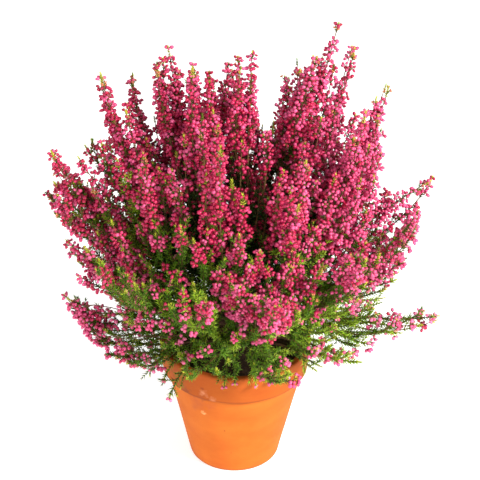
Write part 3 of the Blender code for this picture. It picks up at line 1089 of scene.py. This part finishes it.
def addCluster(rng, place, direction, bells, kind, scale):
    # a few bells that nod outwards from the end of a branchlet
    plan = growthPlan
    turn = rng.uniform(0.0, math.tau)
    for number in range(bells):
        out = turnedAcross(direction, turn + number * math.tau / bells + rng.uniform(-0.3, 0.3))
        aim = direction * rng.uniform(0.2, 0.7) + out * 0.66 - skyward * rng.uniform(*plan["nod"])
        aim.normalize()
        base = place + aim * plan["pedicel"] * rng.uniform(0.8, 1.2)
        size = scale * rng.uniform(0.76, 1.16)
        width = plan["bellWidth"] * size * rng.uniform(0.84, 1.12)
        tint = rng.random()
        crop[kind].append((base, aim, plan["bellLength"] * size, width, turn, tint))
        reach = (base - place).length + plan["bellLength"] * plan["calyxReach"]
        crop["calyx"].append((place, aim, reach, plan["calyxWidth"] * size, turn, tint))


def bloomShare(place):
    # flowers are sparse near the pot, thick higher up, and reach lower on the sunny side and at far tips
    plan = growthPlan
    bearing = math.atan2(place.y, place.x)
    sunny = math.cos(bearing - plan["bloomSunny"]) * plan["bloomShift"]
    aside = math.remainder(bearing - plan["shadyBearing"], math.tau) / plan["shadyWidth"]
    shady = math.exp(-aside * aside) * (1.0 - easeBetween(place.z, *plan["shadyBelow"]))
    sunny -= shady * plan["shadyShift"]
    share = easeBetween(place.z + sunny, plan["bloomLow"], plan["bloomFull"])
    ends = easeBetween(math.hypot(place.x, place.y), *plan["endsFrom"]) * plan["bloomEnds"]
    ends *= (1.0 - shady) * easeBetween(place.z, *plan["endsAbove"])
    return max(blendValue(plan["bloomLeast"], 1.0, share), ends)


def inSkyGap(point):
    across, down = seenPixel(point)
    gaps = growthPlan["skyGaps"]
    return any(left < across < right and top < down < foot for left, top, right, foot in gaps)


def clearOfGaps(points):
    # a line cut short where its tip would show in a gap
    while len(points) > 4 and inSkyGap(points[-1]):
        points = points[:-1]
    return points


def taperedRadii(thick, thin, count):
    return [blendValue(thick, thin, index / (count - 1)) for index in range(count)]


def growShoot(rng, points, baseRadius, flowerFrom, step, needleScale=1.0, leastBloom=0.0):
    # one shoot: its own stem, green needles low down, flowering branchlets above
    plan = growthPlan
    points = clearOfGaps(points)
    lengths = lineLengths(points)
    total = lengths[-1]
    shootLines.append((points, taperedRadii(baseRadius, plan["tipRadius"], len(points))))
    rng.random()  # a draw without use, which keeps the later ones in place
    # fresh green is the colour of young growth; the larger share of it low on the lit right side, and the
    # smaller share on the shaded left, is painted light
    low = 1.0 - easeBetween(points[-1].z, *plan["freshBelow"])
    sunny = easeBetween(points[-1].x, *plan["sunnyFrom"])
    fresh = plan["freshShare"] + plan["paintedLitFreshLow"] * low * (sunny - 0.2)
    green = "freshGreen" if rng.random() < fresh else "midGreen"
    turn = rng.uniform(0.0, math.tau)
    flowers = total * flowerFrom
    nextTwiglet = plan["firstTwiglet"]
    distance = plan["bareFoot"]
    while distance < total - plan["bareEnd"]:
        place, direction = alongLine(points, lengths, distance)
        shown = shownShare(place)
        bloom = max(bloomShare(place), leastBloom) if distance > flowers else 0.0
        spread = math.radians(rng.uniform(*plan["needleSpread"]))
        if rng.random() < bloom:
            share = (distance - flowers) / (total - flowers)
            turn += goldenTurn
            for side in range(3):
                if rng.random() < blendValue(plan["innerBranchlets"], 1.0, shown):
                    bearing = turn + side * math.tau / 3 + rng.uniform(-0.35, 0.35)
                    spot = place + direction * rng.uniform(-0.4, 0.4) * step
                    growBranchlet(rng, spot, direction, bearing, share, shown)
            addNeedles(rng, place, direction, 2, plan["needleLength"] * 0.8, spread, green)
            loose = blendValue(1.0, plan["looseStep"], easeBetween(share, plan["looseFrom"], 1.0))
            onward = step * loose * rng.uniform(0.8, 1.2)
            distance += onward * 2.0 if rng.random() < plan["gapChance"] else onward
            continue
        size = plan["needleLength"] * blendValue(plan["innerNeedle"], 1.0, shown) * needleScale
        addNeedles(rng, place, direction, 4, size, spread, green)
        if distance > nextTwiglet:
            turn += goldenTurn
            growTwiglet(rng, place, direction, green, turn)
            nextTwiglet = distance + plan["twigletStep"] * rng.uniform(0.7, 1.3) * needleScale**4
        distance += blendValue(plan["innerWhorlStep"], plan["whorlStep"], shown)
    tip, direction = points[-1], (points[-1] - points[-2]).normalized()
    if flowers < total and rng.random() < 0.6 * bloomShare(tip):
        addCluster(rng, tip, direction, rng.randint(*plan["bellsInCluster"]), dealBlossom(rng, tip), 0.9)
    tufted = rng.random() < plan["tuftShare"] * blendValue(0.3, 1.0, easeBetween(tip.z, 0.22, 0.32))
    for whorl in range(5 if tufted else 3):
        at = tip - direction * plan["tipWhorlStep"] * whorl
        fresh = "tipGreen" if tufted or rng.random() < 0.6 else green
        spread = math.radians(16 + 11 * whorl)
        addNeedles(rng, at, direction, 5 if tufted else 4, plan["needleLength"] * 0.75, spread, fresh)


def growTwiglet(rng, place, direction, green, turn):
    # a short leafy side shoot
    plan = growthPlan
    out = turnedAcross(direction, turn)
    outer = easeBetween(math.hypot(place.x, place.y), *plan["twigletOuter"])
    length = rng.uniform(*plan["twigletLength"]) * blendValue(1.0, 0.6, outer)
    aim = (direction * 0.6 + out * 0.5 + skyward * 0.5).normalized()
    end = place + aim * length
    crop["twig"].append((place, aim, length, plan["twigletWidth"], turn, rng.random()))
    along = plan["twigletBare"]
    shown = shownShare(end)
    size = plan["needleLength"] * blendValue(plan["innerNeedle"], 0.85, shown)
    while along < length:
        spread = math.radians(rng.uniform(*plan["twigletSpread"]))
        addNeedles(rng, place + aim * along, aim, 3, size, spread, green)
        along += blendValue(plan["innerWhorlStep"], plan["whorlStep"], shown)
    fresh = "tipGreen" if rng.random() < plan["twigletTip"] else green
    addNeedles(rng, end, aim, 3, plan["needleLength"] * 0.7, math.radians(16), fresh)
    if rng.random() < plan["twigletFlower"] * shown:
        kind = dealBlossom(rng, end)
        addCluster(rng, end, aim, rng.randint(*plan["bellsInCluster"]), kind, 0.9)


def growBranchlet(rng, place, direction, turn, share, shown):
    # a short side branchlet that ends in a cluster of bells
    plan = growthPlan
    taper = 1.0 - share**1.6
    length = blendValue(plan["branchletShort"], plan["branchletLong"], taper) * rng.uniform(0.5, 1.3)
    rise = math.radians(blendValue(*plan["branchletRise"], share) + rng.uniform(-10, 10))
    out = turnedAcross(direction, turn)
    aim = (direction * math.cos(rise) + out * math.sin(rise)).normalized()
    length *= blendValue(0.55, 1.0, easeBetween(aim.z, -0.5, 0.3))
    end = place + aim * length
    crop["twig"].append((place, aim, length + 0.002, plan["branchletWidth"], turn, rng.random()))
    needle = plan["needleLength"] * 0.7
    addNeedles(rng, place + aim * length * 0.5, aim, 2, needle, math.radians(50), "midGreen")
    if share > plan["budsFrom"] and rng.random() < 0.6:
        for bud in range(3):
            budAim = (aim + turnedAcross(aim, bud * 2.1 + turn) * 0.7).normalized()
            crop["buds"].append((end, budAim, plan["budLength"], plan["budWidth"], turn, rng.random()))
        return
    bells = rng.randint(*plan["bellsInCluster"]) if shown > 0.4 else 2
    addCluster(rng, end, aim, bells, dealBlossom(rng, end), blendValue(1.0, 0.82, share * share))


def shellReach(mass, origin, direction):
    # how far a mass reaches from a point inside it
    hit = mass["shell"].ray_cast(origin, direction)
    return hit[3] if hit[0] is not None else 0.008


def growMass(mass, plan):
    # a main shoot up the middle of a mass, and side shoots that fill its shell
    node = mass["node"]
    rng = random.Random(plan["seed"] * 1000 + sum(map(ord, node)) * 7 + len(node))
    tier = plan["tiers"][mass["tier"]]
    foot, tip = mass["foot"], mass["tip"]
    axis = tip - foot
    length = axis.length
    heading = axis.normalized()
    limb = limbLine(mass, limbPlan)
    limbLines.append((limb, taperedRadii(limbPlan["thick"], limbPlan["thin"], len(limb))))
    wander = turnedAcross(heading, rng.uniform(0, math.tau)) * length * plan["mainWander"]
    sag = plan["sagging"].get(node, 0.0)
    wander -= skyward * sag
    if node in plan["drooping"]:
        tip = tip - skyward * plan["drooping"][node]
    flat = Vector((heading.x, heading.y, 0.0))
    setOff = (heading + flat * plan["mainFlare"]).normalized()
    upright = (heading + skyward * plan["mainLift"][mass["tier"]]).normalized()
    leaving = setOff * length * plan["mainPulls"][0] + wander
    arriving = upright * length * plan["mainPulls"][1] - wander
    main = clearOfGaps(bendLine(foot, leaving, arriving, tip, 14))
    laden = plan["laden"].get(node, 0.0)
    step = plan["steps"][mass["tier"]]
    growShoot(rng, main, limbPlan["thin"], tier["flowerFrom"] + plan["mainBare"], step, 1.0, laden)
    mainLengths = lineLengths(main)
    count = plan["thinner"].get(node, plan["sideShoots"])
    turn = rng.uniform(0.0, math.tau)
    for number in range(count):
        leave = blendValue(*tier["leave"], (number + rng.random()) / count)
        start, direction = alongLine(main, mainLengths, leave * mainLengths[-1])
        turn += math.tau / count * rng.uniform(0.8, 1.2)
        out = turnedAcross(heading, turn)
        if out.z < -0.1 and mass["tier"] in ("outer", "low"):
            out.z = -0.5 * out.z
            out.normalize()
        reach = min(leave + rng.uniform(*tier["onward"]), 0.95)
        room = shellReach(mass, foot + axis * min(reach, 0.8), out)
        end = foot + axis * reach + out * room * rng.uniform(*plan["spread"])
        end -= skyward * sag * 3.0 * reach * (1.0 - reach)
        span = (end - start).length
        leaving = (direction + out * 0.8).normalized() * span * plan["sidePulls"][0]
        arriving = (heading + skyward * tier["lift"]).normalized() * span * plan["sidePulls"][1]
        line = bendLine(start, leaving, arriving, end, 9)
        growShoot(rng, line, plan["sideRadius"], tier["flowerFrom"], step, 1.0, laden)


def crownReach(direction):
    # how far the crown goes in a direction, from the masses nearest to it
    near = []
    for mass in masses:
        away = mass["tip"] - growthPlan["heart"]
        near.append((1.0 - away.normalized().dot(direction), away.length))
    near = sorted(near)[:3]
    weights = [1.0 / (gap + 0.01) for gap, reach in near]
    return sum(weight * reach for weight, (gap, reach) in zip(weights, near)) / sum(weights)


def growFiller(rng, number, name, plan):
    # a shoot between the masses, from the nearest limb outwards and up
    kind = plan["fillers"][name]
    heart = growthPlan["heart"]
    low, high = (math.sin(math.radians(rise)) for rise in kind["rise"])
    rise = math.asin(blendValue(low, high, (number + rng.random()) / kind["count"]))
    flat = levelWay(number * goldenTurn + rng.uniform(-0.15, 0.15))
    direction = flat * math.cos(rise) + skyward * math.sin(rise)
    if "share" in kind:
        reach = rng.uniform(*kind["share"]) * crownReach(direction)
    else:
        reach = rng.uniform(*kind["reach"])
    end = heart + direction * reach
    wanted = heart + direction * kind["fork"]
    places = [point for points, radii in limbLines for point in points[4:]]
    start = min(places, key=lambda point: (point - wanted).length)
    span = (end - start).length
    leaving = (end - start).normalized() * span * plan["pulls"][0]
    arriving = (direction + skyward * plan["lift"]).normalized() * span * plan["pulls"][1]
    line = bendLine(start, leaving, arriving, end, 9)
    growShoot(rng, line, plan["radius"], plan["flowerFrom"][name], plan["step"], plan["needleScale"][name])


def growFillers(plan):
    for name, kind in plan["fillers"].items():
        for number in range(kind["count"]):
            growFiller(random.Random(plan["seed"] * 1000 + number * 10 + len(name)), number, name, plan)


def growSpires(plan):
    # shoots that the photo shows one by one, each from the nearest limb, by way of a place on it
    starts = [point for points, radii in limbLines for point in points[6:]]
    for number, (across, down, depth, wayAcross, wayDown, flowerFrom) in enumerate(plan["spires"]):
        end = seenPlace(across, down, depth)
        middle = seenPlace(wayAcross, wayDown, depth * plan["wayDepth"])
        start = min(starts, key=lambda point: (point - middle).length + (point - end).length)
        arriving = (end - middle).normalized() * (end - middle).length * plan["arriving"]
        line = bendLine(start, (middle - start) * plan["leaving"], arriving, end, 14)
        leafy = flowerFrom > plan["leafyFrom"]
        farLeft = easeBetween(-end.x, *plan["farLeft"]) * plan["farShare"]
        high = max(easeBetween(end.z, *plan["bloomFrom"]), farLeft)
        bloom = plan["bloom"] * blendValue(plan["bloomLow"], 1.0, high)
        bloom *= plan["leafyBloom"] if leafy else 1.0
        needleScale = plan["leafyNeedle"] if leafy else 1.0
        rng = random.Random(plan["seed"] * 100 + number)
        growShoot(rng, line, plan["radius"], flowerFrom, plan["step"], needleScale, bloom)


def growRimSprigs(plan):
    # short sprigs that lean over the rim, with a few pale flowers
    rng = random.Random(plan["seed"])
    for bearing, reach, height in plan["ends"]:
        out = levelWay(math.radians(bearing))
        start = out * plan["foot"][0] + skyward * plan["foot"][1]
        end = out * reach + skyward * height
        line = bendLine(start, (out + skyward * 0.5) * 0.018, (out * 0.4 - skyward) * 0.014, end, 8)
        growShoot(rng, line, plan["radius"], 2.0, plan["step"])
        aim = (line[-1] - line[-2]).normalized()
        bells = rng.randint(2, 3)
        kind = "pale" if rng.random() < plan["paleShare"] else "pink"
        addCluster(rng, end, aim, bells, kind, 0.9)


def growBareTwigs(plan):
    # old wiry twigs without leaves, low in the crown, each with four forks
    rng = random.Random(plan["seed"])
    for bearing, reach, height in plan["ends"]:
        out = levelWay(math.radians(bearing))
        start = out * plan["foot"][0] + skyward * plan["foot"][1]
        end = out * reach + skyward * height
        line = bendLine(start, out * 0.03, (out - skyward * 0.2) * 0.02, end, 8)
        bareLines.append((line, taperedRadii(plan["thick"], plan["thin"], len(line))))
        for at in line[3:7]:
            aim = (out + turnedAcross(out, rng.uniform(0, math.tau)) * 0.8).normalized()
            forkEnd = at + aim * rng.uniform(*plan["forkLength"])
            fork = bendLine(at, aim * 0.008, (aim - skyward * 0.3) * 0.006, forkEnd, 5)
            bareLines.append((fork, plan["forkRadii"]))


for mass in masses:
    growMass(mass, growthPlan)
growFillers(fillerPlan)
growSpires(spirePlan)
growRimSprigs(sprigPlan)
growBareTwigs(bareTwigPlan)
print("grown:", {kind: len(placed) for kind, placed in crop.items()}, len(shootLines), "shoots")

# Finishes of the living parts, each with its shaded, lit and end colours
# the petals' end colour, from End From up, is a painted shade in the mouth of each bell
petalValues = {"End From": 0.72, "Rough Low": 0.20, "Rough High": 0.38, "Grain Size": 700.0}
leafValues = {"End From": 0.55, "Rough Low": 0.40, "Rough High": 0.60, "Grain Size": 500.0}
petalLooks = {
    # the dark crimson of bells deep in the crown is painted shade
    "paintedShadeCrimson": (screen(134, 8, 44), screen(176, 24, 72), screen(130, 14, 52)),
    "rose": (screen(170, 14, 56), screen(198, 42, 94), screen(172, 30, 76)),
    "pink": (screen(212, 60, 108), screen(230, 96, 148), screen(212, 72, 120)),
    "pale": (screen(222, 84, 134), screen(242, 136, 178), screen(214, 100, 140)),
}
leafLooks = {
    # the very dark green of needles deep in the crown is painted shade
    "paintedShadeGreen": (screen(14, 30, 1), screen(52, 82, 8), screen(66, 96, 12)),
    "midGreen": (screen(38, 72, 4), screen(102, 148, 16), screen(136, 174, 36)),
    "freshGreen": (screen(92, 132, 12), screen(174, 212, 48), screen(204, 226, 92)),
    "tipGreen": (screen(154, 170, 24), screen(214, 220, 66), screen(230, 222, 100)),
}
budColours = (screen(170, 60, 60), screen(214, 150, 90), screen(200, 60, 96))
calyxColours = (screen(96, 62, 34), screen(140, 124, 52), screen(170, 60, 60))
for kind, colours in petalLooks.items():
    finish = livingFinish(f"petals_{kind}", colours, petalValues, Specular_IOR_Level=0.45)
    master = "smallBell" if kind == "paintedShadeCrimson" else "bell"
    stampCopies(f"bells_{kind}", master, crop[kind], finish, "blossom")
stampCopies("buds", "bud", crop["buds"], livingFinish("petals_bud", budColours, petalValues), "blossom")
calyxFinish = livingFinish("calyx_green", calyxColours, leafValues)
stampCopies("calyces", "calyx", crop["calyx"], calyxFinish, "greenery")
for kind, colours in leafLooks.items():
    finish = livingFinish(f"needles_{kind}", colours, leafValues, Specular_IOR_Level=0.3)
    stampCopies(f"needles_{kind}", "needle", crop[kind], finish, "greenery")
print("flowers and needles placed")


def twigFinish(name, dark, light):
    finish, tree, shader = newFinish(name, Roughness=0.7)
    grain = useGrain(tree, 180.0, 1400.0, 0.5, 0.3)
    body = mixColours(tree, grain["Mask"], dark, light)
    tree.links.new(body, shader.inputs["Base Color"])
    addBump(tree, shader, grain["Height"], 0.5, 0.0008)
    return finish


def nodesNamed(start):
    return [node for node in sorted(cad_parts) if node.startswith(start)]


youngBark = twigFinish("young_bark", screen(80, 50, 30), screen(128, 98, 52))
oldBark = twigFinish("old_bark", screen(58, 38, 26), screen(128, 92, 62))
sweepLines("shoots", shootLines, youngBark, 6)
stampCopies("branchlets", "needle", crop["twig"], youngBark, "bark")
sweepLines("limbs", limbLines, oldBark, 10, *nodesNamed("bough_"))
sweepLines("bare_twigs", bareLines, oldBark, 4)
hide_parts(*nodesNamed("plume_"))
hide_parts(*nodesNamed("spray_"))

# Short stem
stemPlan = {
    "steps": 28,
    "rows": 20,
    "radius": 0.0080,
    "taper": 0.1,
    "flare": 0.0030,
    "flareFall": 7.0,
    "relief": 0.0006,
    "ridges": Vector((420.0, 420.0, 90.0)),
}


def buildStem(plan):
    form = bmesh.new()
    outline = [(0.0, stemLow.z)]
    for row in range(plan["rows"] + 1):
        share = row / plan["rows"]
        flare = plan["flare"] * math.exp(-plan["flareFall"] * share)
        radius = plan["radius"] * (1.0 - plan["taper"] * share) + flare
        outline.append((radius, blendValue(stemLow.z, stemHigh.z, share)))
    outline.append((0.0, stemHigh.z))
    spinOutline(form, outline, plan["steps"])
    bmesh.ops.remove_doubles(form, verts=form.verts, dist=1e-6)
    for vert in form.verts:
        if vert.co.z > stemLow.z + 1e-4:
            out = Vector((vert.co.x, vert.co.y, 0.0))
            vert.co += out.normalized() * noise.noise(vert.co * plan["ridges"]) * plan["relief"]
    finishPiece(fromForm("short_stem_bark", form, oldBark, 60), "bark", "short_stem")


buildStem(stemPlan)
print("stem and twigs built")
